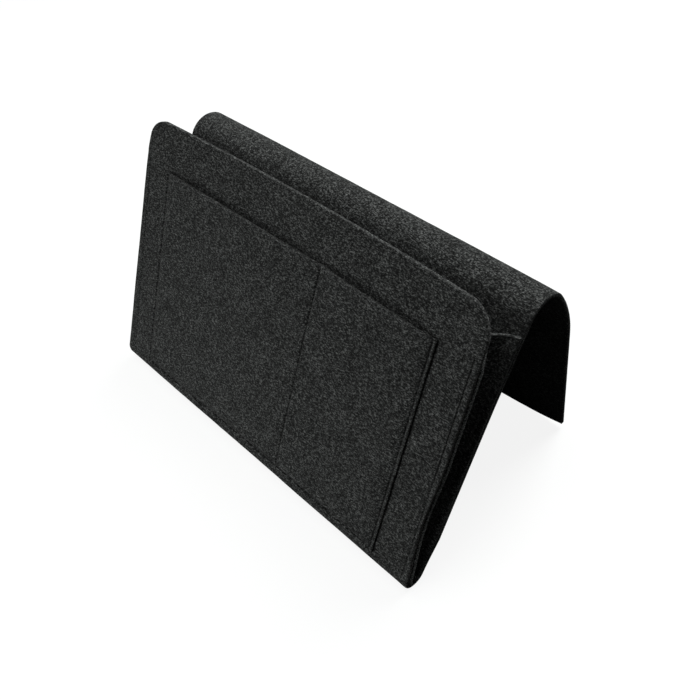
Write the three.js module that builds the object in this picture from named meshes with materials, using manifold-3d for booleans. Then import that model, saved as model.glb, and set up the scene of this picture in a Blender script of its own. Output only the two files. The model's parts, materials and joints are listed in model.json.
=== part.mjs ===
// Bedside caddy of grey felt, standing like a small tent: a pouch with two flat pockets on its front, and a
// flap that folds over a ridge behind it. Millimetres, +Z up, +X to the right, the pockets face -Y.
//
// One long strip of felt makes the front panel, the bottom fold, the back panel, the ridge and the flap.
// It is drawn hanging, with the back panel upright and the fold's centre at the origin, and is then stood
// on the fold and the flap's free edge.
import * as THREE from 'three';
import { mergeVertices } from 'three/addons/utils/BufferGeometryUtils.js';
import Module from 'manifold-3d';

const wasm = await Module();
wasm.setup();

const degrees = THREE.MathUtils.degToRad;

// Felt, thread and clearances
const FELT = 3;
const GAP = 0.3;
const THREAD_WIDTH = 0.8;
const THREAD_HEIGHT = 0.6;
const THREAD_SINKS = 0.1;
const ARC_STEP = degrees(7);

// The long strip, measured along the middle of the felt
const WIDTH = 320;
const FRONT_LENGTH = 202.3;
const FOLD_RADIUS = 7.8;
const BACK_LENGTH = 187.8;
const RIDGE_RADIUS = 17.2;
const RIDGE_TURN = degrees(115.5);
const CURL_LENGTH = 50;
const CURL_TURN = degrees(26.8);
const FLAP_LENGTH = 108.8;
const CORNER_RADIUS = 20.5;
const MOUTH_ANGLE = degrees(7.3);

// How the felt bends when it is used
const MOUTH_OPENS = degrees(4);
const RIDGE_LINES = 3;
const RIDGE_LINE_CLOSES = degrees(12);

// Gussets, creased inwards along their middle
const GUSSET_TOP = 175;
const GUSSET_FOOT = 4.5;
const GUSSET_FLANGE = 8.5;
const GUSSET_LIP = 1.5;
const CREASE_AT_TOP = 15;
const CREASE_AT_FOOT = 2;
const GUSSET_SEAM_INSET = 5;
const GUSSET_SEAM_END = 3;

// The pocket sheet on the front panel
const POCKET_LEFT_MARGIN = 26.6;
const POCKET_RIGHT_MARGIN = 31;
const POCKET_FOOT = 2;
const POCKET_HEIGHT = 166.6;
const PHONE_POCKET_WIDTH = 98.2;
const SEWN_EDGE = 7;
const SEAM_INSET = 2.6;
const SEAM_END = 2;

// Values that follow from the sizes above
const HALF_WIDTH = WIDTH / 2;
const HALF_FELT = FELT / 2;
const FOLD_INSIDE = FOLD_RADIUS - HALF_FELT;
const FOLD_OUTSIDE = FOLD_RADIUS + HALF_FELT;
const FRONT_FACE = FOLD_OUTSIDE + GAP;
const POCKET_FACE = FRONT_FACE + FELT;

const charcoal = new THREE.MeshStandardMaterial({ color: 0x303231, roughness: 0.95, metalness: 0 });
const blackThread = new THREE.MeshStandardMaterial({ color: 0x18191a, roughness: 0.8, metalness: 0 });

function named(name, geometry, material = charcoal) {
  const mesh = new THREE.Mesh(geometry, material.clone());
  mesh.name = name;
  return mesh;
}

// A closed geometry as a solid that can be cut
function solid(geometry) {
  const bare = new THREE.BufferGeometry();
  bare.setAttribute('position', geometry.getAttribute('position'));
  bare.setIndex(geometry.getIndex());
  const merged = mergeVertices(bare);
  const vertProperties = merged.getAttribute('position').array;
  const triVerts = Uint32Array.from(merged.getIndex().array);
  return new wasm.Manifold(new wasm.Mesh({ numProp: 3, vertProperties, triVerts }));
}

function cutAway(geometry, cutters) {
  const rest = cutters.reduce((left, cutter) => left.subtract(solid(cutter)), solid(geometry));
  const mesh = rest.getMesh();
  const cut = new THREE.BufferGeometry();
  cut.setAttribute('position', new THREE.BufferAttribute(mesh.vertProperties, 3));
  cut.setIndex(new THREE.BufferAttribute(mesh.triVerts, 1));
  return cut;
}

// Samples of a bend of the strip behind the pouch: the turn runs from the upright back panel over the ridge.
// Each sample has the middle of the felt and its outward direction, both as (y, z).
function bend(centre, radius, fromTurn, toTurn) {
  const steps = Math.max(2, Math.ceil((toTurn - fromTurn) / ARC_STEP));
  const samples = [];
  for (let i = 0; i <= steps; i += 1) {
    const turn = THREE.MathUtils.lerp(fromTurn, toTurn, i / steps);
    const outward = new THREE.Vector2(-Math.cos(turn), Math.sin(turn));
    samples.push({ middle: centre.clone().addScaledVector(outward, radius), outward });
  }
  return samples;
}

function straightOn(sample, length) {
  const along = new THREE.Vector2(sample.outward.y, -sample.outward.x);
  return { middle: sample.middle.clone().addScaledVector(along, length), outward: sample.outward };
}

function bothFaces(samples) {
  const face = (side) => samples.map((s) => s.middle.clone().addScaledVector(s.outward, side * HALF_FELT));
  return [...face(1), ...face(-1).reverse()];
}

// A stretch of the strip: its thick profile in (y, z), run along X over the strip's width
function stripStretch(samples) {
  const shape = new THREE.Shape(bothFaces(samples));
  const geometry = new THREE.ExtrudeGeometry(shape, { depth: WIDTH, bevelEnabled: false });
  const toWidth = new THREE.Matrix4().makeBasis(
    new THREE.Vector3(0, 1, 0),
    new THREE.Vector3(0, 0, 1),
    new THREE.Vector3(1, 0, 0),
  );
  return geometry.applyMatrix4(toWidth).translate(-HALF_WIDTH, 0, 0);
}

// A flat felt piece that lies on a panel, drawn in the panel's plane
function flatPiece(shape, height) {
  const geometry = new THREE.ExtrudeGeometry(shape, { depth: FELT, bevelEnabled: false });
  return geometry.translate(0, 0, height);
}

// A frame at the fold's centre whose Y runs up a panel that leans forward by the given angle from upright,
// and whose Z points out of the pouch's front
function panelFrame(lean) {
  const frame = new THREE.Group();
  frame.rotation.x = Math.PI / 2 + lean;
  return frame;
}

// Ridge lines: where the strip bends when the flap is folded or opened
const ridgeCentre = new THREE.Vector2(FOLD_RADIUS + RIDGE_RADIUS, BACK_LENGTH);
const lineTurn = (line) => (RIDGE_TURN * (line - 0.5)) / RIDGE_LINES;
const lineRoom = FELT * Math.tan(RIDGE_LINE_CLOSES) + GAP;
const lineHalfTurn = lineRoom / (RIDGE_RADIUS - HALF_FELT) / 2;

function backPanel(grooves) {
  const stub = bend(ridgeCentre, RIDGE_RADIUS, 0, lineTurn(1) - lineHalfTurn);
  const foot = straightOn(stub[0], -BACK_LENGTH);
  return named('back_panel', cutAway(stripStretch([foot, ...stub]), grooves));
}

function ridgeStrip(line) {
  const from = lineTurn(line) + lineHalfTurn;
  const to = lineTurn(line + 1) - lineHalfTurn;
  return named(`ridge_strip_${line}`, stripStretch(bend(ridgeCentre, RIDGE_RADIUS, from, to)));
}

function flapSamples() {
  const stub = bend(ridgeCentre, RIDGE_RADIUS, lineTurn(RIDGE_LINES) + lineHalfTurn, RIDGE_TURN);
  const last = stub.pop();
  const curlRadius = CURL_LENGTH / CURL_TURN;
  const curlCentre = last.middle.clone().addScaledVector(last.outward, -curlRadius);
  const curl = bend(curlCentre, curlRadius, RIDGE_TURN, RIDGE_TURN + CURL_TURN);
  return [...stub, ...curl, straightOn(curl.at(-1), FLAP_LENGTH)];
}

// The fold's arc stops short of the front panel, which swings towards it as the mouth opens
function bottomFold() {
  const seat = GAP / FOLD_RADIUS;
  const fromAngle = -seat;
  const toAngle = -(Math.PI - MOUTH_ANGLE) + MOUTH_OPENS + 2 * seat;
  const steps = Math.ceil((fromAngle - toAngle) / ARC_STEP);
  const samples = [];
  for (let i = 0; i <= steps; i += 1) {
    const angle = THREE.MathUtils.lerp(fromAngle, toAngle, i / steps);
    const outward = new THREE.Vector2(Math.cos(angle), Math.sin(angle));
    samples.push({ middle: outward.clone().multiplyScalar(FOLD_RADIUS), outward });
  }
  return named('bottom_fold', stripStretch(samples));
}

function frontPanel(grooves) {
  const shape = new THREE.Shape();
  shape.moveTo(-HALF_WIDTH, 0);
  shape.lineTo(HALF_WIDTH, 0);
  const corner = FRONT_LENGTH - CORNER_RADIUS;
  shape.lineTo(HALF_WIDTH, corner);
  shape.absarc(HALF_WIDTH - CORNER_RADIUS, corner, CORNER_RADIUS, 0, Math.PI / 2);
  shape.absarc(CORNER_RADIUS - HALF_WIDTH, corner, CORNER_RADIUS, Math.PI / 2, Math.PI);
  const geometry = new THREE.ExtrudeGeometry(shape, { depth: FELT, bevelEnabled: false, curveSegments: 10 });
  return named('front_panel', cutAway(geometry.translate(0, 0, FOLD_INSIDE), grooves));
}

// Edges of the pocket sheet and the middle of its divider, in the front panel's plane
const pocket = {
  left: -HALF_WIDTH + POCKET_LEFT_MARGIN,
  right: HALF_WIDTH - POCKET_RIGHT_MARGIN,
  foot: POCKET_FOOT,
  mouth: POCKET_FOOT + POCKET_HEIGHT,
};
pocket.divider = pocket.right - PHONE_POCKET_WIDTH;

// The part of the pocket sheet that is sewn down: three upright strips on a bottom strip
function pocketBorder(grooves) {
  const floor = pocket.foot + SEWN_EDGE;
  const shape = new THREE.Shape();
  shape.moveTo(pocket.left, pocket.foot);
  shape.lineTo(pocket.right, pocket.foot);
  shape.lineTo(pocket.right, pocket.mouth);
  shape.lineTo(pocket.right - SEWN_EDGE, pocket.mouth);
  shape.lineTo(pocket.right - SEWN_EDGE, floor);
  shape.lineTo(pocket.divider + SEWN_EDGE / 2, floor);
  shape.lineTo(pocket.divider + SEWN_EDGE / 2, pocket.mouth);
  shape.lineTo(pocket.divider - SEWN_EDGE / 2, pocket.mouth);
  shape.lineTo(pocket.divider - SEWN_EDGE / 2, floor);
  shape.lineTo(pocket.left + SEWN_EDGE, floor);
  shape.lineTo(pocket.left + SEWN_EDGE, pocket.mouth);
  shape.lineTo(pocket.left, pocket.mouth);
  return named('pocket_border', cutAway(flatPiece(shape, FRONT_FACE), grooves));
}

// The free front of one pocket, between two sewn strips
function pocketFront(name, fromX, toX) {
  const bottom = pocket.foot + SEWN_EDGE + 2 * GAP;
  const shape = new THREE.Shape();
  shape.moveTo(fromX + GAP, bottom);
  shape.lineTo(toX - GAP, bottom);
  shape.lineTo(toX - GAP, pocket.mouth);
  shape.lineTo(fromX + GAP, pocket.mouth);
  return named(name, flatPiece(shape, FRONT_FACE));
}

// A sewn line on a panel's face: one flat thread, and the groove that it pulls into the felt.
// Outward is 1 where the face looks along the panel's Z, and -1 where it looks the other way.
function seam(name, face, outward, fromX, fromY, toX, toY) {
  const run = new THREE.Vector2(toX - fromX, toY - fromY);
  const geometry = new THREE.BoxGeometry(run.length(), THREAD_WIDTH, THREAD_HEIGHT);
  geometry.translate(0, 0, -outward * (THREAD_SINKS + THREAD_HEIGHT / 2));
  const thread = named(name, geometry, blackThread);
  thread.rotation.z = run.angle();
  thread.position.set((fromX + toX) / 2, (fromY + toY) / 2, face);
  thread.updateMatrix();
  const depth = THREAD_SINKS + THREAD_HEIGHT + GAP;
  const groove = new THREE.BoxGeometry(run.length() + 2 * GAP, THREAD_WIDTH + 2 * GAP, 2 * depth);
  return { thread, groove: groove.applyMatrix4(thread.matrix) };
}

const threadsOf = (seams) => seams.map((sewn) => sewn.thread);
const groovesOf = (seams) => seams.map((sewn) => sewn.groove);

function pocketSeams() {
  const left = pocket.left + SEAM_INSET;
  const right = pocket.right - SEAM_INSET;
  const foot = pocket.foot + SEAM_INSET;
  const top = pocket.mouth - SEAM_END;
  const corner = THREAD_WIDTH / 2 + GAP;
  return [
    seam('pocket_left_seam', POCKET_FACE, 1, left, foot + corner, left, top),
    seam('pocket_right_seam', POCKET_FACE, 1, right, foot + corner, right, top),
    seam('pocket_divider_seam', POCKET_FACE, 1, pocket.divider, foot + corner, pocket.divider, top),
    seam('pocket_bottom_seam', POCKET_FACE, 1, left, foot, right, foot),
  ];
}

function gussetSeams(panel, face, outward) {
  const inset = HALF_WIDTH - GUSSET_SEAM_INSET;
  const top = GUSSET_TOP - GUSSET_SEAM_END;
  const foot = GUSSET_SEAM_END;
  return [
    seam(`left_${panel}_gusset_seam`, face, outward, -inset, foot, -inset, top),
    seam(`right_${panel}_gusset_seam`, face, outward, inset, foot, inset, top),
  ];
}

// Offset a polyline in a plane to one side, with mitred corners
function offsetLine(points, distance) {
  const normals = [];
  for (let i = 0; i + 1 < points.length; i += 1) {
    const along = points[i + 1].clone().sub(points[i]).normalize();
    normals.push(new THREE.Vector2(-along.y, along.x));
  }
  return points.map((point, i) => {
    const before = normals[Math.max(i - 1, 0)];
    const after = normals[Math.min(i, normals.length - 1)];
    const mitre = before.clone().add(after).normalize();
    return point.clone().addScaledVector(mitre, distance / mitre.dot(after));
  });
}

// One level cut through a gusset, in (distance in from the panels' edges, distance across the mouth):
// a flange along each panel and two halves that meet at the inward crease
function gussetRing(height, crease) {
  const half = MOUTH_ANGLE / 2;
  const onPanels = height * Math.tan(half) + FOLD_INSIDE / Math.cos(half);
  const inFold = Math.sqrt(Math.max(FOLD_INSIDE ** 2 - height ** 2, 0));
  const wall = height < 0 ? inFold : onPanels;
  const flange = wall - (GAP + HALF_FELT) / Math.cos(half);
  const middle = [
    new THREE.Vector2(-GUSSET_LIP, flange),
    new THREE.Vector2(GUSSET_FLANGE, flange),
    new THREE.Vector2(GUSSET_FLANGE + crease, 0),
    new THREE.Vector2(GUSSET_FLANGE, -flange),
    new THREE.Vector2(-GUSSET_LIP, -flange),
  ];
  const outline = [...offsetLine(middle, -HALF_FELT), ...offsetLine(middle, HALF_FELT).reverse()];
  return { height, outline };
}

// A closed skin over rings of equal point counts, with both ends filled
function loft(rings) {
  const count = rings[0].outline.length;
  const positions = [];
  const index = [];
  for (const ring of rings) {
    for (const p of ring.outline) {
      positions.push(HALF_WIDTH - p.x, ring.height, p.y);
    }
  }
  for (let r = 0; r + 1 < rings.length; r += 1) {
    for (let i = 0; i < count; i += 1) {
      const a = r * count + i;
      const b = r * count + ((i + 1) % count);
      index.push(a, b, b + count, a, b + count, a + count);
    }
  }
  const last = (rings.length - 1) * count;
  for (const [a, b, c] of THREE.ShapeUtils.triangulateShape(rings[0].outline, [])) {
    index.push(c, b, a);
  }
  for (const [a, b, c] of THREE.ShapeUtils.triangulateShape(rings.at(-1).outline, [])) {
    index.push(last + a, last + b, last + c);
  }
  const geometry = new THREE.BufferGeometry();
  geometry.setAttribute('position', new THREE.Float32BufferAttribute(positions, 3));
  geometry.setIndex(index);
  return geometry;
}

// The two gussets are alike: the left one is the right one after half a turn
function gusset(side) {
  const geometry = loft([
    gussetRing(-GUSSET_FOOT, CREASE_AT_FOOT),
    gussetRing(0, CREASE_AT_FOOT),
    gussetRing(GUSSET_TOP, CREASE_AT_TOP),
  ]);
  const mesh = named(`${side}_gusset`, geometry);
  mesh.rotation.y = side === 'left' ? Math.PI : 0;
  return mesh;
}

// The tilt that stands the hanging caddy on the fold and on the flap's lower corner
function standingTilt(flapEnd) {
  const tilts = flapEnd.map((corner) => {
    const direction = Math.atan2(corner.x, corner.y);
    return direction - Math.acos(-FOLD_OUTSIDE / corner.length());
  });
  return Math.max(...tilts);
}

const onPocket = pocketSeams();
const onFront = gussetSeams('front', FOLD_OUTSIDE, 1);
const front = panelFrame(MOUTH_ANGLE);
front.add(frontPanel(groovesOf(onFront)), ...threadsOf(onFront));
front.add(pocketBorder(groovesOf(onPocket)), ...threadsOf(onPocket));
front.add(pocketFront('left_pocket_front', pocket.left + SEWN_EDGE, pocket.divider - SEWN_EDGE / 2));
front.add(pocketFront('right_pocket_front', pocket.divider + SEWN_EDGE / 2, pocket.right - SEWN_EDGE));

const ends = panelFrame(MOUTH_ANGLE / 2);
ends.add(gusset('left'), gusset('right'));

const onBack = gussetSeams('rear', -FOLD_OUTSIDE, -1);
const back = panelFrame(0);
back.add(...threadsOf(onBack));
back.updateMatrix();
const backGrooves = groovesOf(onBack).map((groove) => groove.applyMatrix4(back.matrix));

const flap = flapSamples();
const flapEnd = bothFaces([flap.at(-1)]);

const stood = new THREE.Group();
stood.rotation.x = standingTilt(flapEnd);
stood.add(front, ends, back, bottomFold(), backPanel(backGrooves));
stood.add(named('rear_flap', stripStretch(flap)));
for (let line = 1; line < RIDGE_LINES; line += 1) {
  stood.add(ridgeStrip(line));
}

const caddy = new THREE.Group();
caddy.add(stood);
const extent = new THREE.Box3().setFromObject(caddy, true);
stood.position.set(0, -(extent.min.y + extent.max.y) / 2, -extent.min.z);
caddy.updateMatrixWorld(true);

// Where the felt turns: every axis runs along +X through these points
const ridgeLinePoint = (line) => {
  const turn = lineTurn(line);
  const outside = RIDGE_RADIUS + HALF_FELT;
  return new THREE.Vector3(
    0,
    ridgeCentre.x - outside * Math.cos(turn),
    ridgeCentre.y + outside * Math.sin(turn),
  );
};
caddy.userData.turningPoints = {
  mouth: stood.localToWorld(new THREE.Vector3()),
  pockets: front.localToWorld(new THREE.Vector3(0, pocket.foot + SEWN_EDGE + 2 * GAP, FRONT_FACE)),
  ridge: Array.from({ length: RIDGE_LINES }, (_, i) => stood.localToWorld(ridgeLinePoint(i + 1))),
};

export default caddy;
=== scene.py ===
import json
import math
from collections import namedtuple

import bpy
from mathutils import Matrix, Vector, noise


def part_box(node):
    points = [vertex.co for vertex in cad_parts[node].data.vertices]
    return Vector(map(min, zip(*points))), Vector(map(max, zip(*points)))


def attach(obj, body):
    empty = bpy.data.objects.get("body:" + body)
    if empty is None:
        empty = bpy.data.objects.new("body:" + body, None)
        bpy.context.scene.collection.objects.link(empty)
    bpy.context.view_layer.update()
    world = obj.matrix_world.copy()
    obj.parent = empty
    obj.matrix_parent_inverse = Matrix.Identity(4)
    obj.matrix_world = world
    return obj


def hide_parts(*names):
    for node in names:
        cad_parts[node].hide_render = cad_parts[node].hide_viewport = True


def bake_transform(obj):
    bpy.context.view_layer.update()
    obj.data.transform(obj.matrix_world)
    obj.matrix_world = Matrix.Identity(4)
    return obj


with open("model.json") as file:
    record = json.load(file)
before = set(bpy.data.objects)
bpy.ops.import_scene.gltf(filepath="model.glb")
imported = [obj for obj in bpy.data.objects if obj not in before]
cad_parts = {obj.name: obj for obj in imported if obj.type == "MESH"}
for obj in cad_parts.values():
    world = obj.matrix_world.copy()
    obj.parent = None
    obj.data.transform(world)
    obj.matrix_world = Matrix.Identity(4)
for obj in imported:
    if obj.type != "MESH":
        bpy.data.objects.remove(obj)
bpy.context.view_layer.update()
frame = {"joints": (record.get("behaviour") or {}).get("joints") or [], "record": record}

# Sizes of the caddy, in metres, as its solids have them
MM = 0.001
FELT = 3 * MM
HALF_FELT = FELT / 2
WIDTH = 320 * MM
HALF_WIDTH = WIDTH / 2
FRONT_LENGTH = 202.3 * MM
FOLD_RADIUS = 7.8 * MM
BACK_LENGTH = 187.8 * MM
RIDGE_RADIUS = 17.2 * MM
RIDGE_TURN = math.radians(115.5)
RIDGE_LINES = 3
CURL_LENGTH = 50 * MM
CURL_TURN = math.radians(26.8)
FLAP_LENGTH = 108.8 * MM
CORNER_RADIUS = 20.5 * MM
MOUTH_ANGLE = math.radians(7.3)
GAP = 0.3 * MM

# The pocket sheet. Its heights are up the front panel, from where the fold starts
pocket_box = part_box("pocket_border")
divider_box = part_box("pocket_divider_seam")
POCKET_LEFT = pocket_box[0].x
POCKET_RIGHT = pocket_box[1].x
POCKET_DIVIDER = (divider_box[0].x + divider_box[1].x) / 2
POCKET_FOOT = 2 * MM
POCKET_HEIGHT = 166.6 * MM
POCKET_MOUTH = POCKET_FOOT + POCKET_HEIGHT
POCKET_SEAM_INSET = 2.6 * MM
POCKET_SEAM_END = 2 * MM
POCKET_SEAMS = [POCKET_LEFT + POCKET_SEAM_INSET, POCKET_DIVIDER, POCKET_RIGHT - POCKET_SEAM_INSET]
POCKET_SEAM_LOW = POCKET_FOOT + POCKET_SEAM_INSET
POCKET_SEAM_HIGH = POCKET_MOUTH - POCKET_SEAM_END

# The gussets. Their heights are up the middle of the pouch, from the fold's centre
GUSSET_TOP = 175 * MM
GUSSET_FOOT = 4.5 * MM
GUSSET_FLANGE = 8.5 * MM
CREASE_AT_TOP = 15 * MM
CREASE_AT_FOOT = 2 * MM
GUSSET_SEAM_INSET = 5 * MM
GUSSET_SEAM_END = 3 * MM
GUSSET_SEAM_X = HALF_WIDTH - GUSSET_SEAM_INSET
GUSSET_SEAM_LOW = GUSSET_SEAM_END
GUSSET_SEAM_HIGH = GUSSET_TOP - GUSSET_SEAM_END

# The front panel sags back between its gussets
PANEL_SAG = 6.4 * MM
SAG_POWER = 1.5

# The pocket sheet is pressed along its sewn edges and gapes at its two mouths
POCKET_PRESS = 1.2 * MM
PRESS_FLAT = 3 * MM
PRESS_FADE = 6 * MM
POCKET_BULGE = 2.2 * MM
BULGE_POWER = 4
MOUTH_POWER = 4

# The strip's side edges aren't quite straight
LEFT_OUT_AT_FOOT = 4.6 * MM
LEFT_IN_AT_TOP = 0.8 * MM
LEFT_CORNER_STARTS = 160 * MM
LEFT_CORNER_IN = 4.5 * MM
LEFT_CORNER_RADIUS = 14 * MM
RIGHT_IN = 1 * MM
RIGHT_IN_STARTS = 20 * MM
RIGHT_FOOT_IN = 2.2 * MM
RIGHT_FOOT_REACH = 95 * MM
BACK_OUT = 1.8 * MM
BACK_OUT_STARTS = 30 * MM
BACK_OUT_REACH = 130 * MM
BACK_OUT_POWER = 1.5

# The ridge bows up, and the flap's end bows forward between corners that are a little short
RIDGE_BOW = 0.9 * MM
FLAP_FORWARD_BOW = 5 * MM
FLAP_CORNERS_SHORT = 4.6 * MM
FLAP_CORNER_POWER = 6

# A gusset's front edge is a lip that shows past the front panel, and its top edge dips at the crease
FRONT_LIP = 0.5 * MM
LIP_TUCKED = 2.5 * MM
LIP_STARTS = 176 * MM
LIP_FULL = 160 * MM
GUSSET_TOP_RISE = 4 * MM
GUSSET_TOP_DIP = 2 * MM
GUSSET_TOP_REACH = 35 * MM
GUSSET_CORNER = 3 * MM

# Felt edges: rounded over a width and a depth, and paler over a width, as worn cut edges are.
# The lip counts for as many such edges as the first lip number below, which makes it as many times as pale
# as the second: a painted highlight on a lip that lies in shade
CUT_ROUND = (0.5 * MM, 0.45 * MM)
POCKET_ROUND = (1.0 * MM, 0.8 * MM)
SEWN_ROUND = (1.8 * MM, 0.8 * MM)
PALE_EDGE_WIDTH = 1 * MM
LIP_HIGHLIGHT_WEIGHT = 10
LIP_HIGHLIGHT_GAIN = 3.4

# Seams pull the felt in, and the pocket's bottom seam bows up towards the divider
GUSSET_SEAM_DIP = 0.85 * MM
POCKET_SEAM_DIP = 1.25 * MM
SEAM_REACH = 0.6 * MM
FOOT_SEAM_DIP = 1.6 * MM
FOOT_SEAM_REACH = 0.85 * MM
FOOT_SEAM_RISE = 1.5 * MM
FOOT_SEAM_BOW = 70 * MM

# Slow waves of a sheet and the small nap of its faces. The layers are places in the noise
WAVE = 0.3 * MM
WAVE_SIZE = 60 * MM
WAVE_LAYER = 0.5
NAP = 0.09 * MM
NAP_SIZE = 7 * MM
NAP_LAYER = 3.7

# The flat patterns of the pocket sheet and the gussets start apart from the strip's, so no grain repeats
POCKET_PATTERN = 1
GUSSET_PATTERN = 3

# Stitches
STITCH = 3.1 * MM
STITCH_PITCH = 3.6 * MM
STITCH_SIDES = 6
STITCH_RINGS = 7
STITCH_TAPER = 0.25
THREAD_RADIUS = 0.36 * MM
DIVE = 3.2 * THREAD_RADIUS
DIVE_POWER = 4

# Mesh spacing: even steps, and closer ones at cut edges, seams, splits and bends
STEP = 4 * MM
SPLIT_STEP = 0.05 * MM
CUT_STEPS = [d * MM for d in (0, 0.1, 0.3, 0.6, 1, 1.5, 2, 2.6, 3.4)]
SEAM_STEPS = [d * MM for d in (0, 0.3, 0.6, 1, 1.5, 2.2)]
FOLD_STEPS = 26
RIDGE_STEPS = 14
FOOT_SEAM_ROW = 0.4 * MM
FOOT_SEAM_ROWS = 20
GUSSET_COLUMNS = 49
GUSSET_BEND = 5 * MM
BEND_POINTS = 8
BEND_SHARE = 0.45
TINY = 1e-9
NEARLY_WHOLE = 1e-6

# Columns beside a gusset seam, each half millimetre from 4 mm inside it to 5 mm outside
SEAM_BAND = [0.5 * MM * k for k in range(-8, 11)]

# Rows round the front panel's upper corners, in degrees of the corner, closer towards the top edge.
# Only the columns farther out than CORNER_KEEPS move to follow the edge
CORNER_ANGLES = [0, 8, 16, 24, 32, 40, 48, 56, 63, 69, 74, 78, 81, 84, 86, 88, 90]
CORNER_KEEPS = 131 * MM

# The fold's centre and how far the panels lean back, from the frame
joints = {joint["name"]: joint for joint in frame["joints"]}
mounts = {mount["name"]: mount for mount in frame["record"]["mounts"]}
bed_side = mounts["bed_side_face"]["axis"]
FOLD_CENTRE = Vector(joints["pouch_mouth"]["pos_m"])
BACK_LEAN = math.atan2(-bed_side[2], bed_side[1])
FRONT_LEAN = BACK_LEAN - MOUTH_ANGLE
MIDDLE_LEAN = BACK_LEAN - MOUTH_ANGLE / 2


def up_along(lean):
    """The direction up a panel that leans back."""
    return Vector((0, math.sin(lean), math.cos(lean)))


def forward_from(lean):
    """The direction out of such a panel's front face."""
    return Vector((0, -math.cos(lean), math.sin(lean)))


# The middle of the strip's felt, from the front panel's top edge to the flap's end: lengths and turns
Stretch = namedtuple("Stretch", "name length turn")
FOLD_TURN = math.pi - MOUTH_ANGLE
STRIP = [
    Stretch("front", FRONT_LENGTH, 0),
    Stretch("fold", FOLD_RADIUS * FOLD_TURN, FOLD_TURN),
    Stretch("back", BACK_LENGTH, 0),
    Stretch("ridge", RIDGE_RADIUS * RIDGE_TURN, -RIDGE_TURN),
    Stretch("curl", CURL_LENGTH, -CURL_TURN),
    Stretch("flap", FLAP_LENGTH, 0),
]
STARTS = {}
STRIP_LENGTH = 0
for stretch in STRIP:
    STARTS[stretch.name] = STRIP_LENGTH
    STRIP_LENGTH += stretch.length

# The back panel's foot belongs to the front piece, so that each piece spans two bodies only
BACK_SPLIT = 30 * MM
BACK_CUT = STARTS["back"] + BACK_SPLIT


def walk(point, heading, length, turn):
    """The end of a straight or evenly bent line in the Y-Z plane, and the heading there."""
    if turn == 0:
        return point + length * Vector((0, math.cos(heading), math.sin(heading))), heading
    radius = length / turn
    centre = point + radius * Vector((0, -math.sin(heading), math.cos(heading)))
    end = heading + turn
    return centre + radius * Vector((0, math.sin(end), -math.cos(end))), end


def strip_at(s):
    """The middle of the strip's felt at a length from its start, and its face's direction there.
    That face is outside on the front panel and the fold, and inside on the ridge and the flap."""
    point = FOLD_CENTRE + FRONT_LENGTH * up_along(FRONT_LEAN) + FOLD_RADIUS * forward_from(FRONT_LEAN)
    heading = math.atan2(-math.cos(FRONT_LEAN), -math.sin(FRONT_LEAN))
    for part in STRIP:
        done = min(max(s - STARTS[part.name], 0), part.length)
        point, heading = walk(point, heading, done, part.turn * done / part.length)
    return point, Vector((0, math.sin(heading), -math.cos(heading)))


# Felt sheets


def wave(a, b):
    """A slow unevenness of a felt sheet, at a place on its flat pattern."""
    return WAVE * noise.noise(Vector((a / WAVE_SIZE, b / WAVE_SIZE, WAVE_LAYER)))


def nap(a, b, side):
    """The small unevenness of one face of the felt."""
    return NAP * noise.noise(Vector((a / NAP_SIZE, b / NAP_SIZE, NAP_LAYER * side)))


def rounded(distance, shape):
    """How much thinner each face of the felt is at a distance from its edge.
    The rounding's shape is a width and a depth."""
    width, depth = shape
    short = min(1 - distance / width, 1)
    if short <= 0:
        return 0
    return depth * (1 - math.sqrt(1 - short**2))


def past(value, low, high):
    """How far a value is outside a range."""
    return max(low - value, value - high, 0)


def dip(depth, distance, past_end, reach=SEAM_REACH):
    """How deep a sewn line pulls the felt in, at a distance to its side and past its end."""
    return depth * math.exp(-((distance / reach) ** 2) - (past_end / reach) ** 2)


def stations(low, high, low_cut, high_cut, seams=(), extra=()):
    """Places from low to high: close together at cut edges, seams and splits, and even in between."""
    marks = set(extra)
    for edge, inward, cut in ((low, 1, low_cut), (high, -1, high_cut)):
        offsets = CUT_STEPS if cut else [0, SPLIT_STEP]
        marks.update(edge + inward * d for d in offsets)
    for seam in seams:
        marks.update(seam + side * d for d in SEAM_STEPS for side in (1, -1))
    marks = sorted(m for m in marks if low - TINY <= m <= high + TINY)
    places = [marks[0]]
    for mark in marks[1:]:
        first = places[-1]
        gap = mark - first
        if gap < SPLIT_STEP / 2:
            continue
        pieces = max(1, math.ceil(gap / STEP - NEARLY_WHOLE))
        places.extend(first + gap * (k + 1) / pieces for k in range(pieces))
    return places


def in_scene(name, data):
    """A new object of the scene around a mesh, a camera or a light."""
    obj = bpy.data.objects.new(name, data)
    bpy.context.scene.collection.objects.link(obj)
    return obj


# One place of a felt sheet: the middle of the felt, its face's direction, its place on the flat pattern,
# half the felt's thickness there and the distance to the nearest cut edge
Spot = namedtuple("Spot", "point normal pattern half rim")


def slab_faces(width, height):
    """The faces of a closed slab over a grid: one face, the other one and the ring round them."""
    below = height * width
    faces = []
    for j in range(height - 1):
        for i in range(width - 1):
            a = j * width + i
            faces.append((a, a + 1, a + width + 1, a + width))
            faces.append((below + a, below + a + width, below + a + width + 1, below + a + 1))
    ring = list(range(width))
    ring += [j * width + width - 1 for j in range(1, height)]
    ring += [(height - 1) * width + i for i in reversed(range(width - 1))]
    ring += [j * width for j in reversed(range(1, height - 1))]
    for a, b in zip(ring, ring[1:] + ring[:1]):
        faces.append((b, a, below + a, below + b))
    return faces


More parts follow.
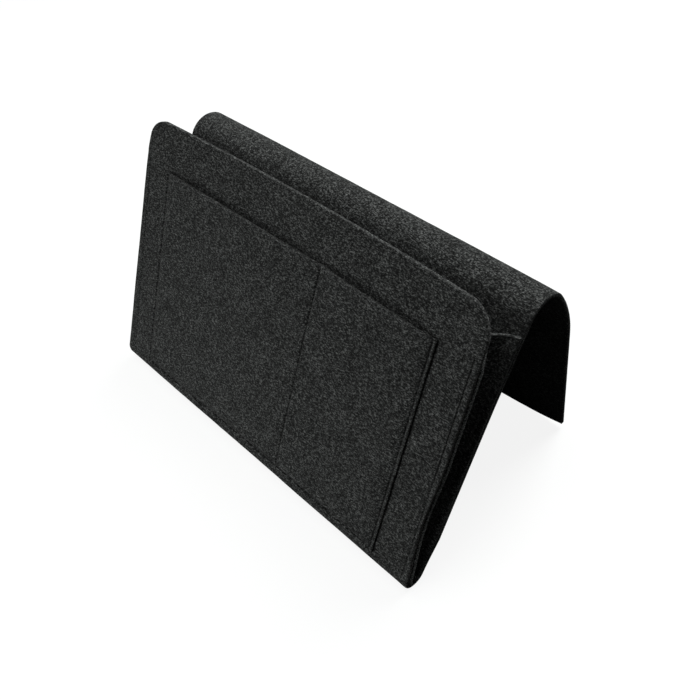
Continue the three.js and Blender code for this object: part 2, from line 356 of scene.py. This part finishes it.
def sharpen_splits(mesh, width, height, split_rows, split_columns):
    """Keep the hidden end faces at a split out of the smooth shading."""
    ends = [set(), set(), set(), set()]
    for side in (0, height * width):
        ends[0].update(side + i for i in range(width))
        ends[1].update(side + (height - 1) * width + i for i in range(width))
        ends[2].update(side + j * width for j in range(height))
        ends[3].update(side + j * width + width - 1 for j in range(height))
    split = [end for end, wanted in zip(ends, (*split_rows, *split_columns)) if wanted]
    for edge in mesh.edges:
        pair = set(edge.vertices)
        if any(pair <= end for end in split):
            edge.use_edge_sharp = True


def turn_outward(mesh):
    """Point the faces of a closed mesh out of it."""
    volume = 0
    for face in mesh.polygons:
        corners = [mesh.vertices[i].co for i in face.vertices]
        for b, c in zip(corners[1:], corners[2:]):
            volume += corners[0].dot(b.cross(c))
    if volume < 0:
        mesh.flip_normals()


def felt_slab(name, rows, split_rows=(False, False), split_columns=(False, False), edge_tone=1):
    """A closed felt sheet over a grid of spots.
    Splits are ends where the same felt goes on in another piece."""
    height = len(rows)
    width = len(rows[0])
    points = []
    pattern = []
    wear_and_lip_highlight = []
    for side in (1, -1):
        for row in rows:
            for spot in row:
                out = spot.half + nap(spot.pattern.x, spot.pattern.y, side)
                points.append(spot.point + spot.normal * side * out)
                pattern.extend(spot.pattern + Vector((0, 0, side * spot.half)))
                # Paler towards cut edges: wear, and on a gusset's lip a painted highlight
                wear_and_lip_highlight.append(edge_tone * max(0, 1 - spot.rim / PALE_EDGE_WIDTH))

    mesh = bpy.data.meshes.new(name)
    mesh.from_pydata(points, [], slab_faces(width, height))
    mesh.attributes.new("pattern", "FLOAT_VECTOR", "POINT")
    mesh.attributes["pattern"].data.foreach_set("vector", pattern)
    mesh.attributes.new("cut", "FLOAT", "POINT")
    mesh.attributes["cut"].data.foreach_set("value", wear_and_lip_highlight)
    mesh.shade_smooth()
    sharpen_splits(mesh, width, height, split_rows, split_columns)
    turn_outward(mesh)
    return in_scene(name, mesh)


# The long strip


def edge_at(side, v):
    """The distance from the caddy's middle to the front panel's left (-1) or right (1) edge at a height.
    The left edge runs out towards the foot, and the right one is drawn in."""
    v = max(v, 0)
    if side < 0:
        out = LEFT_OUT_AT_FOOT - (LEFT_OUT_AT_FOOT + LEFT_IN_AT_TOP) * v / FRONT_LENGTH
        corner = max(v - LEFT_CORNER_STARTS, 0) / (FRONT_LENGTH - LEFT_CORNER_STARTS)
        return HALF_WIDTH + out - LEFT_CORNER_IN * corner**2
    drawn_in = RIGHT_IN * min(v / RIGHT_IN_STARTS, 1)
    low = min(v / RIGHT_FOOT_REACH, 1)
    return HALF_WIDTH - drawn_in - RIGHT_FOOT_IN * math.sin(math.pi * low) ** 2


def back_edge(up):
    """The same distance on the back panel, whose edges spread a little above the foot."""
    rise = min(max(up, 0) / BACK_OUT_STARTS, 1) ** BACK_OUT_POWER
    return HALF_WIDTH + BACK_OUT * rise * max(1 - up / BACK_OUT_REACH, 0)


def strip_edge(side, s):
    """The same distance along the whole strip."""
    if s <= FRONT_LENGTH:
        return edge_at(side, FRONT_LENGTH - s)
    if s >= STARTS["back"]:
        return back_edge(s - STARTS["back"])
    share = (s - FRONT_LENGTH) / (STARTS["back"] - FRONT_LENGTH)
    return edge_at(side, 0) * (1 - share) + back_edge(0) * share


def corner_half_width(edge, radius, v):
    """The half width left at a height, by the front panel's rounded upper corners."""
    up = v - (FRONT_LENGTH - radius)
    if up <= 0:
        return edge
    return edge - radius + math.sqrt(max(radius**2 - up**2, 0))


def corner_distance(x, v, edge, radius):
    """The distance from a place on the front panel to its cut edge, rounded corners included."""
    dx = abs(x) - (edge - radius)
    dv = v - (FRONT_LENGTH - radius)
    if dx > 0 and dv > 0:
        return radius - math.hypot(dx, dv)
    return min(edge - abs(x), FRONT_LENGTH - v)


def narrowed(x, half_width):
    """A column of the grid moved to follow an edge that isn't at the strip's full width."""
    if abs(x) <= CORNER_KEEPS:
        return x
    share = (abs(x) - CORNER_KEEPS) / (HALF_WIDTH - CORNER_KEEPS)
    return math.copysign(CORNER_KEEPS + share * (half_width - CORNER_KEEPS), x)


def gusset_dip(x, v):
    """How deep the gusset seams pull a panel in."""
    past_end = past(v, GUSSET_SEAM_LOW, GUSSET_SEAM_HIGH)
    return dip(GUSSET_SEAM_DIP, abs(x) - GUSSET_SEAM_X, past_end)


def foot_seam(x):
    """The height of the pocket's bottom seam, which bows up a little towards the divider."""
    return POCKET_SEAM_LOW + FOOT_SEAM_RISE * math.exp(-(((x - POCKET_DIVIDER) / FOOT_SEAM_BOW) ** 2))


def upright_dip(depth, x, v):
    """How deep the pocket's three upright seams pull the felt in."""
    past_end = past(v, foot_seam(x), POCKET_SEAM_HIGH)
    return max(dip(depth, x - seam, past_end) for seam in POCKET_SEAMS)


def pocket_dip(x, v):
    """How deep all the pocket's seams pull its sheet in."""
    beside = past(x, POCKET_SEAMS[0], POCKET_SEAMS[-1])
    level = dip(FOOT_SEAM_DIP, v - foot_seam(x), beside, FOOT_SEAM_REACH)
    return max(upright_dip(POCKET_SEAM_DIP, x, v), level)


def panel_sag(x, v):
    """How far the front panel sags back between its gussets, at a height up the panel."""
    across = min(abs(x) / (HALF_WIDTH - GUSSET_FLANGE), 1)
    return PANEL_SAG * (1 - across**2) * (max(v, 0) / FRONT_LENGTH) ** SAG_POWER


def front_middle(x, v):
    """The middle of the front panel's felt at a height up the panel, and its face's direction."""
    point, normal = strip_at(FRONT_LENGTH - v)
    return point + Vector((x, 0, 0)) + normal * (wave(x, FRONT_LENGTH - v) - panel_sag(x, v)), normal


def behind_middle(x, s):
    """The middle of the felt from the fold on, and its face's direction. The ridge bows up, and the
    flap's end bows forward between its corners, which are a little short."""
    out = abs(x) / HALF_WIDTH
    along = max(s - STARTS["flap"], 0) / FLAP_LENGTH
    point, normal = strip_at(s - FLAP_CORNERS_SHORT * along * out**FLAP_CORNER_POWER)
    over = min(max((s - BACK_CUT) / (STRIP_LENGTH - BACK_CUT), 0), 1)
    up = RIDGE_BOW * (1 - out**2) * math.sin(math.pi * over)
    forward = FLAP_FORWARD_BOW * (1 - out**2) * along**2
    return point + Vector((x, -forward, up)) + normal * wave(x, s), normal


def strip_spot(x, s):
    """One place of the strip, at a distance across it and a length along it."""
    v = FRONT_LENGTH - s
    up_back = s - STARTS["back"]
    sewn = v < GUSSET_TOP and up_back < GUSSET_TOP
    edge = strip_edge(math.copysign(1, x), s)
    if v > 0:
        radius = CORNER_RADIUS if x > 0 else LEFT_CORNER_RADIUS
        x = narrowed(x, corner_half_width(edge, radius, v))
        point, normal = front_middle(x, v)
        rim = corner_distance(x, v, edge, radius)
        thin = max(gusset_dip(x, v), upright_dip(GUSSET_SEAM_DIP, x, v))
    else:
        x = narrowed(x, edge)
        point, normal = behind_middle(x, s)
        rim = min(edge - abs(x), STRIP_LENGTH - s)
        thin = gusset_dip(x, up_back)
    thin += rounded(rim, SEWN_ROUND if sewn else CUT_ROUND)
    return Spot(point, normal, Vector((x, s, 0)), HALF_FELT - thin, rim)


def bend_places(name, steps, share_from=0, share_to=1):
    """Even places along a bent stretch of the strip, or along a share of it."""
    length = next(part.length for part in STRIP if part.name == name)
    shares = [share_from + (share_to - share_from) * k / steps for k in range(steps + 1)]
    return [STARTS[name] + length * share for share in shares]


def ridge_place(share):
    """The length along the strip at a share of the ridge's bend."""
    return STARTS["ridge"] + RIDGE_RADIUS * RIDGE_TURN * share


def strip_pieces():
    """The strip's four pieces in their order, each with its flat length."""
    names = ["front_and_fold", "back_and_ridge", "ridge_middle", "ridge_and_flap"]
    cuts = [0, BACK_CUT, ridge_place(1 / RIDGE_LINES), ridge_place(2 / RIDGE_LINES), STRIP_LENGTH]
    gusset_lines = [-GUSSET_SEAM_X, GUSSET_SEAM_X]
    seams = [[*gusset_lines, *POCKET_SEAMS], gusset_lines, [], []]
    corner_rows = [CORNER_RADIUS * (1 - math.sin(math.radians(a))) for a in CORNER_ANGLES]
    bends = [[*corner_rows, *bend_places("fold", FOLD_STEPS)]]
    for line in range(RIDGE_LINES):
        bends.append(bend_places("ridge", RIDGE_STEPS, line / RIDGE_LINES, (line + 1) / RIDGE_LINES))
    band = [side * (GUSSET_SEAM_X + d) for d in SEAM_BAND for side in (1, -1)]

    made = []
    for k, name in enumerate(names):
        first = k == 0
        last = k == len(names) - 1
        columns = stations(-HALF_WIDTH, HALF_WIDTH, True, True, seams[k], band)
        places = stations(cuts[k], cuts[k + 1], first, last, extra=bends[k])
        rows = [[strip_spot(x, s) for x in columns] for s in places]
        made.append((felt_slab(name, rows, split_rows=(not first, not last)), cuts[k + 1] - cuts[k]))
    return made


# The pocket sheet, in four pieces: each goes from a sewn line or edge to the middle of a pocket
PocketPiece = namedtuple("PocketPiece", "name pocket sewn middle")
LEFT_POCKET_MIDDLE = (POCKET_SEAMS[0] + POCKET_DIVIDER) / 2
RIGHT_POCKET_MIDDLE = (POCKET_DIVIDER + POCKET_SEAMS[-1]) / 2
POCKET_PIECES = [
    PocketPiece("pocket_sheet_left", "left_pocket", POCKET_LEFT, LEFT_POCKET_MIDDLE),
    PocketPiece("pocket_sheet_left_middle", "left_pocket", POCKET_DIVIDER, LEFT_POCKET_MIDDLE),
    PocketPiece("pocket_sheet_right_middle", "right_pocket", POCKET_DIVIDER, RIGHT_POCKET_MIDDLE),
    PocketPiece("pocket_sheet_right", "right_pocket", POCKET_RIGHT, RIGHT_POCKET_MIDDLE),
]


def pressed(distance):
    """1 along the pocket sheet's sewn edges, where it is pressed flat, and 0 well inside."""
    t = min(max((distance - PRESS_FLAT) / PRESS_FADE, 0), 1)
    return 1 - t * t * (3 - 2 * t)


def pocket_spot(x, v):
    """One place of the pocket sheet, at a distance across the front panel and a height up it."""
    middle, normal = front_middle(x, v)
    free = 0
    for low, high in zip(POCKET_SEAMS, POCKET_SEAMS[1:]):
        if low < x < high:
            free = 1 - (2 * (x - low) / (high - low) - 1) ** MOUTH_POWER
    up = (v - POCKET_FOOT) / POCKET_HEIGHT
    sides = min(x - POCKET_LEFT, POCKET_RIGHT - x, v - POCKET_FOOT)
    press = POCKET_PRESS / 2 * pressed(sides)
    pull = pocket_dip(x, v) / 2
    lift = FELT + GAP - press - pull + POCKET_BULGE * free * up**BULGE_POWER
    rim = min(sides, POCKET_MOUTH - v)
    thin = press + pull + max(rounded(sides, POCKET_ROUND), rounded(POCKET_MOUTH - v, CUT_ROUND))
    pattern = Vector((x, POCKET_PATTERN + v, 0))
    return Spot(middle + normal * lift, normal, pattern, HALF_FELT - thin, rim)


def pocket_piece(piece):
    low, high = sorted((piece.sewn, piece.middle))
    first = low == POCKET_LEFT
    last = high == POCKET_RIGHT
    foot_rows = [POCKET_FOOT + FOOT_SEAM_ROW * k for k in range(FOOT_SEAM_ROWS)]
    heights = stations(POCKET_FOOT, POCKET_MOUTH, True, True, extra=foot_rows)
    columns = stations(low, high, first, last, POCKET_SEAMS)
    rows = [[pocket_spot(x, v) for x in columns] for v in heights]
    return felt_slab(piece.name, rows, split_columns=(not first, not last))


# The gussets


def rounded_path(corners, radius, steps):
    """A line through corner points with each corner replaced by a smooth curve."""
    path = [corners[0]]
    for before, corner, after in zip(corners, corners[1:], corners[2:]):
        shorter = min((before - corner).length, (after - corner).length)
        reach = min(radius, shorter * BEND_SHARE)
        a = corner + (before - corner).normalized() * reach
        b = corner + (after - corner).normalized() * reach
        for k in range(steps + 1):
            t = k / steps
            path.append(a * (1 - t) ** 2 + corner * 2 * t * (1 - t) + b * t**2)
    path.append(corners[-1])
    return path


def along_path(path, count):
    """Distances along a line, close together at its two ends and even in between, and the points there."""
    lengths = [0]
    for a, b in zip(path, path[1:]):
        lengths.append(lengths[-1] + (b - a).length)
    total = lengths[-1]
    end = CUT_STEPS[-1]
    inner = [end + (total - 2 * end) * n / (count - 1) for n in range(count)]
    distances = [*CUT_STEPS[:-1], *inner, *(total - d for d in reversed(CUT_STEPS[:-1]))]
    points = []
    k = 0
    for at in distances:
        while k < len(path) - 2 and lengths[k + 1] < at:
            k += 1
        share = (at - lengths[k]) / (lengths[k + 1] - lengths[k])
        points.append(path[k].lerp(path[k + 1], min(share, 1)))
    return distances, points


def flange_forward(v):
    """How far a gusset's sewn flanges are from the middle of the pouch at a height."""
    half = MOUTH_ANGLE / 2
    inside = FOLD_RADIUS - HALF_FELT
    wall = v * math.tan(half) + inside / math.cos(half) if v >= 0 else math.sqrt(inside**2 - v**2)
    return wall - (GAP + HALF_FELT) / math.cos(half)


def gusset_section(v, side):
    """The middle of a gusset's felt at a height: distances along it, and its points as
    (distance in from the strip's edge, distance forward)."""
    flange = flange_forward(v)
    crease = CREASE_AT_FOOT + (CREASE_AT_TOP - CREASE_AT_FOOT) * max(v, 0) / GUSSET_TOP
    shown = min(max((LIP_STARTS - v) / (LIP_STARTS - LIP_FULL), 0), 1)
    corner = max(v - GUSSET_TOP + GUSSET_CORNER, 0) / GUSSET_CORNER
    tucked = LIP_TUCKED * (1 - shown) + GUSSET_CORNER * (1 - math.sqrt(1 - min(corner, 1) ** 2))
    front_end = HALF_WIDTH - edge_at(side, v) - FRONT_LIP * shown + tucked
    corners = [
        Vector((front_end, flange)),
        Vector((GUSSET_FLANGE, flange)),
        Vector((GUSSET_FLANGE + crease, 0)),
        Vector((GUSSET_FLANGE, -flange)),
        Vector((HALF_WIDTH - back_edge(v), -flange)),
    ]
    return along_path(rounded_path(corners, GUSSET_BEND, BEND_POINTS), GUSSET_COLUMNS)


def gusset_top_rise(v, share):
    """How far a gusset's felt is above a straight cut near its top.
    It is lowest at the crease and highest at the seams."""
    near = max(v - (GUSSET_TOP - GUSSET_TOP_REACH), 0) / GUSSET_TOP_REACH
    return near * ((GUSSET_TOP_DIP + GUSSET_TOP_RISE) * abs(2 * share - 1) - GUSSET_TOP_DIP)


def gusset(name, side):
    """The left (-1) or right (1) gusset."""
    up = up_along(MIDDLE_LEAN)
    forward = forward_from(MIDDLE_LEAN)
    rows = []
    for v in stations(-GUSSET_FOOT, GUSSET_TOP, True, True):
        distances, section = gusset_section(v, side)
        row = []
        for k, (along, place) in enumerate(zip(distances, section)):
            ahead = section[min(k + 1, len(section) - 1)] - section[max(k - 1, 0)]
            normal = Vector((-side * ahead.y, 0, 0)) - forward * ahead.x
            height = v + gusset_top_rise(v, along / distances[-1])
            across = Vector((side * (HALF_WIDTH - place.x), 0, 0))
            point = FOLD_CENTRE + up * height + forward * place.y + across
            thin = rounded(min(GUSSET_TOP - v, along, distances[-1] - along), CUT_ROUND)
            pattern = Vector((along, GUSSET_PATTERN + side + v, 0))
            row.append(Spot(point, normal.normalized(), pattern, HALF_FELT - thin, along))
        rows.append(row)
    # The lip gets many times the edge paleness: a painted highlight, since it lies in shade
    return felt_slab(name, rows, edge_tone=LIP_HIGHLIGHT_WEIGHT)


# Stitches

# One stitch: its middle, the direction along it and the direction out of the felt
Stitch = namedtuple("Stitch", "middle along out")


def stitch_points(stitch):
    """Rings of points round a short thread that dives into the felt at both ends."""
    across = stitch.along.cross(stitch.out)
    points = []
    for k in range(STITCH_RINGS):
        t = 2 * k / (STITCH_RINGS - 1) - 1
        centre = stitch.middle + stitch.along * t * STITCH / 2 - stitch.out * DIVE * t**DIVE_POWER
        radius = THREAD_RADIUS * (1 - STITCH_TAPER * t**2)
        for n in range(STITCH_SIDES):
            angle = 2 * math.pi * n / STITCH_SIDES
            points.append(centre + radius * (math.cos(angle) * across + math.sin(angle) * stitch.out))
    return points


def stitch_faces(base):
    """The faces over such rings, whose points are numbered from base on."""
    faces = []
    for k in range(STITCH_RINGS - 1):
        for n in range(STITCH_SIDES):
            a = base + k * STITCH_SIDES + n
            b = base + k * STITCH_SIDES + (n + 1) % STITCH_SIDES
            faces.append((a, b, b + STITCH_SIDES, a + STITCH_SIDES))
    last = base + (STITCH_RINGS - 1) * STITCH_SIDES
    faces.append(tuple(base + n for n in reversed(range(STITCH_SIDES))))
    faces.append(tuple(last + n for n in range(STITCH_SIDES)))
    return faces


def stitch_row(name, stitches):
    """All the stitches of one seam as one object."""
    points = []
    faces = []
    for stitch in stitches:
        faces.extend(stitch_faces(len(points)))
        points.extend(stitch_points(stitch))
    mesh = bpy.data.meshes.new(name)
    mesh.from_pydata(points, [], faces)
    mesh.shade_smooth()
    turn_outward(mesh)
    return in_scene(name, mesh)


def stitch_middles(low, high):
    """Even places along a seam between its two ends."""
    count = max(1, round((high - low) / STITCH_PITCH))
    return [low + (high - low) * (k + 0.5) / count for k in range(count)]


def pocket_stitches(x, v, along):
    """One stitch on the pocket's face and one on the front panel's inner face."""
    outer = pocket_spot(x, v)
    inner = strip_spot(x, FRONT_LENGTH - v)
    return [
        Stitch(outer.point + outer.normal * outer.half, along, outer.normal),
        Stitch(inner.point - inner.normal * inner.half, along, -inner.normal),
    ]


def gusset_stitches(x, v, panel):
    """One stitch on the outer face of the front or back panel and one on the gusset's inner face."""
    front = panel == "front"
    spot = strip_spot(x, FRONT_LENGTH - v if front else STARTS["back"] + v)
    along = up_along(FRONT_LEAN if front else BACK_LEAN)
    inward = forward_from(MIDDLE_LEAN) * (-1 if front else 1)
    flange = FOLD_CENTRE + up_along(MIDDLE_LEAN) * v - inward * flange_forward(v) + Vector((x, 0, 0))
    return [
        Stitch(spot.point + spot.normal * spot.half, along, spot.normal),
        Stitch(flange + inward * HALF_FELT, along, inward),
    ]


def seam_pieces():
    """The stitches of each seam, by the name of the seam's node."""
    made = {}
    up = up_along(FRONT_LEAN)
    heights = stitch_middles(POCKET_SEAM_LOW, POCKET_SEAM_HIGH)
    for name, x in zip(("pocket_left_seam", "pocket_divider_seam", "pocket_right_seam"), POCKET_SEAMS):
        stitches = [stitch for v in heights for stitch in pocket_stitches(x, v, up)]
        made[name] = stitch_row(name + "_stitches", stitches)

    level = Vector((1, 0, 0))
    places = stitch_middles(POCKET_SEAMS[0], POCKET_SEAMS[-1])
    stitches = [stitch for x in places for stitch in pocket_stitches(x, foot_seam(x), level)]
    made["pocket_bottom_seam"] = stitch_row("pocket_bottom_seam_stitches", stitches)

    heights = stitch_middles(GUSSET_SEAM_LOW, GUSSET_SEAM_HIGH)
    for side, x in (("left", -GUSSET_SEAM_X), ("right", GUSSET_SEAM_X)):
        for panel in ("front", "rear"):
            stitches = [stitch for v in heights for stitch in gusset_stitches(x, v, panel)]
            made[f"{side}_{panel}_gusset_seam"] = stitch_row(f"{side}_{panel}_gusset_stitches", stitches)
    return made


# Materials

# The felt's grain, fibres and mottle: scales are per metre of the flat pattern, turns in degrees
GRAIN_SCALE = 950
GRAIN_DETAIL = 3
GRAIN_ROUGHNESS = 0.65
FIBRE_TURNS = (20, 80, 140)
FIBRE_SCALE = (350, 1900, 1900)
MOTTLE_SCALE = 70
MOTTLE_DETAIL = 2
MOTTLE_RANGE = (0.3, 0.7)
MOTTLE_SHADE = (0.85, 1.15)

# The felt's colour, from its darkest speckle to its palest, and its surface
GREY_TINT = (0.98, 1.03, 1)
SPECKLE_RANGE = (0.96, 1.31)
FELT_DARK = 0.007
FELT_MIDDLE = 0.031
FELT_MIDDLE_AT = 0.45
FELT_PALE = 0.138
BUMP_STRENGTH = 0.5
BUMP_HEIGHT = 0.6 * MM
SHEEN = 0.06
SHEEN_ROUGHNESS = 0.5

# The thread's twist, colour and surface
TWIST_SCALE = 2600
THREAD_DARK = 0.006
THREAD_PALE = 0.022
THREAD_ROUGHNESS = 0.6
THREAD_GLOSS = 0.1


def node(tree, kind, inputs=None, **settings):
    """A new shader node with its settings, and with values or links on its inputs."""
    made = tree.nodes.new("ShaderNode" + kind)
    for key, value in settings.items():
        setattr(made, key, value)
    for key, value in (inputs or {}).items():
        if isinstance(value, bpy.types.NodeSocket):
            tree.links.new(value, made.inputs[key])
        else:
            made.inputs[key].default_value = value
    return made


def combined(tree, operation, first, second):
    """Two values added, multiplied or compared."""
    return node(tree, "Math", {0: first, 1: second}, operation=operation).outputs[0]


def mapped(tree, value, before, after):
    """A value carried from one range to another."""
    ranges = {"From Min": before[0], "From Max": before[1], "To Min": after[0], "To Max": after[1]}
    return node(tree, "MapRange", {"Value": value, **ranges}).outputs[0]


def noise_texture(tree, place, scale, detail, roughness=0.5):
    look = {"Scale": scale, "Detail": detail, "Roughness": roughness}
    return node(tree, "TexNoise", {"Vector": place, **look}).outputs["Fac"]


def grey(value):
    return (*(value * part for part in GREY_TINT), 1)


def new_material(name):
    """A material, its node tree and its shader."""
    material = bpy.data.materials.new(name)
    material.use_nodes = True
    return material, material.node_tree, material.node_tree.nodes["Principled BSDF"]


def fibre_streaks(tree, pattern, turn):
    """Long thin streaks in one direction of the sheet."""
    stretched = {"Vector": pattern, "Rotation": (0, 0, math.radians(turn)), "Scale": FIBRE_SCALE}
    return noise_texture(tree, node(tree, "Mapping", stretched).outputs["Vector"], 1, 1)


def felt_material():
    """Heathered felt: pale and dark speckles of grain and fibres, a slow mottle, paler worn edges and a
    painted highlight on the gussets' lips.
    """
    material, tree, shader = new_material("charcoal_felt")
    pattern = node(tree, "Attribute", attribute_name="pattern").outputs["Vector"]
    cut = node(tree, "Attribute", attribute_name="cut").outputs["Fac"]

    grain = noise_texture(tree, pattern, GRAIN_SCALE, GRAIN_DETAIL, GRAIN_ROUGHNESS)
    fibres = fibre_streaks(tree, pattern, FIBRE_TURNS[0])
    for turn in FIBRE_TURNS[1:]:
        fibres = combined(tree, "MAXIMUM", fibres, fibre_streaks(tree, pattern, turn))
    speckle = combined(tree, "ADD", grain, fibres)
    heather = node(tree, "ValToRGB", {"Fac": mapped(tree, speckle, SPECKLE_RANGE, (0, 1))})
    ramp = heather.color_ramp
    ramp.elements[0].color = grey(FELT_DARK)
    ramp.elements[1].color = grey(FELT_PALE)
    middle = ramp.elements.new(FELT_MIDDLE_AT)
    middle.color = grey(FELT_MIDDLE)

    mottle = noise_texture(tree, pattern, MOTTLE_SCALE, MOTTLE_DETAIL)
    shade = mapped(tree, mottle, MOTTLE_RANGE, MOTTLE_SHADE)
    # Worn edges a little paler; the gussets' lips far paler, a painted highlight
    wear_and_lip_highlight = mapped(tree, cut, (0, LIP_HIGHLIGHT_WEIGHT), (1, LIP_HIGHLIGHT_GAIN))
    toned = {"Factor": 1, "A": heather.outputs["Color"], "B": combined(tree, "MULTIPLY", shade, wear_and_lip_highlight)}
    colour = node(tree, "Mix", toned, data_type="RGBA", blend_type="MULTIPLY")
    bump = node(tree, "Bump", {"Height": speckle, "Strength": BUMP_STRENGTH, "Distance": BUMP_HEIGHT})

    tree.links.new(colour.outputs["Result"], shader.inputs["Base Color"])
    tree.links.new(bump.outputs["Normal"], shader.inputs["Normal"])
    shader.inputs["Roughness"].default_value = 1
    shader.inputs["Specular IOR Level"].default_value = 0
    shader.inputs["Sheen Weight"].default_value = SHEEN
    shader.inputs["Sheen Roughness"].default_value = SHEEN_ROUGHNESS
    return material


def thread_material():
    """Near-black twisted thread."""
    material, tree, shader = new_material("black_thread")
    place = node(tree, "NewGeometry").outputs["Position"]
    colour = node(tree, "ValToRGB", {"Fac": noise_texture(tree, place, TWIST_SCALE, 1)})
    colour.color_ramp.elements[0].color = grey(THREAD_DARK)
    colour.color_ramp.elements[1].color = grey(THREAD_PALE)
    tree.links.new(colour.outputs["Color"], shader.inputs["Base Color"])
    shader.inputs["Roughness"].default_value = THREAD_ROUGHNESS
    shader.inputs["Specular IOR Level"].default_value = THREAD_GLOSS
    return material


# Camera, floor and light

# The camera was fitted together with the caddy's shape to lines measured in the photograph
PHOTO_PIXELS = 700
FOCAL_PIXELS = 796.71
SENSOR_WIDTH = 36
CAMERA_FROM_FOLD = Vector((332.95, -134.15, 500.12)) * MM
CAMERA_YAW = math.radians(54.65)
CAMERA_PITCH = math.radians(49.87)
CAMERA_ROLL = math.radians(12.6)

# The floor and the sky shine in what the camera sees and light the caddy only a little
WHITE = (1, 1, 1, 1)
FLOOR_SIZE = 6
FLOOR_GLOW = 0.88
FLOOR_SHOWN = 0.15
FLOOR_BOUNCE = 0.06
SKY_LIGHT = 0.04
SKY_SHOWN = 0.893

# Soft disks of light: places and sizes in metres, powers in watts
Light = namedtuple("Light", "name place size power")
LIGHT_TARGET = Vector((0, -0.04, 0.08))
LIGHTS = [
    Light("key_light", Vector((-0.45, -0.1, 1.5)), 1.4, 11.8),
    Light("rim_light", Vector((0.05, 1.1, 1.3)), 0.9, 26),
    Light("low_fill", Vector((-0.08, -0.65, 0.12)), 0.4, 2.3),
]


def make_camera():
    data = bpy.data.cameras.new("camera")
    data.sensor_width = SENSOR_WIDTH
    data.lens = SENSOR_WIDTH * FOCAL_PIXELS / PHOTO_PIXELS
    camera = in_scene("camera", data)
    level = Vector((math.cos(CAMERA_YAW), math.sin(CAMERA_YAW), 0))
    ahead = Vector((-math.sin(CAMERA_YAW), math.cos(CAMERA_YAW), 0))
    forward = math.cos(CAMERA_PITCH) * ahead - math.sin(CAMERA_PITCH) * Vector((0, 0, 1))
    down = forward.cross(level)
    right = math.cos(CAMERA_ROLL) * level + math.sin(CAMERA_ROLL) * down
    below = -math.sin(CAMERA_ROLL) * level + math.cos(CAMERA_ROLL) * down
    axes = Matrix((right, -below, -forward)).transposed().to_4x4()
    camera.matrix_world = Matrix.Translation(FOLD_CENTRE + CAMERA_FROM_FOLD) @ axes
    bpy.context.scene.camera = camera


def seen_directly(tree):
    """1 for what the camera sees, straight or in a reflection or through glass.
    It is 0 for other light paths."""
    path = node(tree, "LightPath").outputs
    seen = combined(tree, "MAXIMUM", path["Is Camera Ray"], path["Is Glossy Ray"])
    return combined(tree, "MAXIMUM", seen, path["Is Transmission Ray"])


def make_floor():
    half = FLOOR_SIZE / 2
    mesh = bpy.data.meshes.new("floor")
    corners = [(-half, -half, 0), (half, -half, 0), (half, half, 0), (-half, half, 0)]
    mesh.from_pydata(corners, [], [(0, 1, 2, 3)])
    floor = in_scene("floor", mesh)
    material, tree, shader = new_material("pale_floor")
    tree.nodes.remove(shader)
    lit = node(tree, "BsdfDiffuse", {"Color": grey(FLOOR_SHOWN)})
    glow = node(tree, "Emission", {"Color": WHITE, "Strength": FLOOR_GLOW})
    shown = node(tree, "AddShader", {0: lit.outputs[0], 1: glow.outputs[0]})
    bounce = node(tree, "BsdfDiffuse", {"Color": grey(FLOOR_BOUNCE)})
    both = node(tree, "MixShader", {0: seen_directly(tree), 1: bounce.outputs[0], 2: shown.outputs[0]})
    tree.links.new(both.outputs[0], tree.nodes["Material Output"].inputs["Surface"])
    mesh.materials.append(material)


def make_world():
    world = bpy.data.worlds.new("studio")
    bpy.context.scene.world = world
    world.use_nodes = True
    tree = world.node_tree
    background = tree.nodes["Background"]
    strength = mapped(tree, seen_directly(tree), (0, 1), (SKY_LIGHT, SKY_SHOWN))
    tree.links.new(strength, background.inputs["Strength"])
    background.inputs["Color"].default_value = WHITE


def make_lights():
    for light in LIGHTS:
        data = bpy.data.lights.new(light.name, "AREA")
        data.shape = "DISK"
        data.size = light.size
        data.energy = light.power
        obj = in_scene(light.name, data)
        obj.location = light.place
        obj.rotation_euler = (LIGHT_TARGET - light.place).to_track_quat("-Z", "Y").to_euler()


# Putting the caddy together


def across_fold(obj):
    """Bake the transform of a piece that goes across the pouch into its mesh."""
    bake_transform(obj)


def along_ridge(obj):
    """Bake the transform of a piece that goes over one share of the ridge into its mesh."""
    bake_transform(obj)


def dress(obj, material):
    obj.data.materials.append(material)


def place_strip(felt):
    """The strip's pieces. Returns the front one, which the pocket and the gussets rest on."""
    pieces = strip_pieces()
    for obj, length in pieces:
        dress(obj, felt)
    front, back, ridge, flap = [obj for obj, length in pieces]
    across_fold(front)
    along_ridge(back)
    along_ridge(ridge)
    along_ridge(flap)
    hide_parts("front_panel", "bottom_fold")
    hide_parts("back_panel")
    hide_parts("ridge_strip_1", "ridge_strip_2")
    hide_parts("rear_flap")
    return front


def place_pocket(felt):
    """The pocket sheet's pieces, each from a sewn edge or the divider to the middle of a pocket."""
    for piece in POCKET_PIECES:
        obj = pocket_piece(piece)
        dress(obj, felt)
        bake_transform(obj)
        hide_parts("pocket_border", piece.pocket + "_front")


def place_gussets(felt):
    """The two gussets, which fold between the front panel and the back panel."""
    for name, side in (("left_gusset", -1), ("right_gusset", 1)):
        obj = gusset(name + "_felt", side)
        dress(obj, felt)
        across_fold(obj)
        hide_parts(name)


def place_seams(thread):
    """The stitches, each seam with the panel that it shows on."""
    for name, obj in seam_pieces().items():
        dress(obj, thread)
        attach(obj, "pouch" if "rear" in name else "front")
        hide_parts(name)


bpy.context.scene.view_settings.view_transform = "Standard"
make_camera()
make_floor()
make_world()
make_lights()
felt = felt_material()
front_piece = place_strip(felt)
place_pocket(felt)
place_gussets(felt)
place_seams(thread_material())
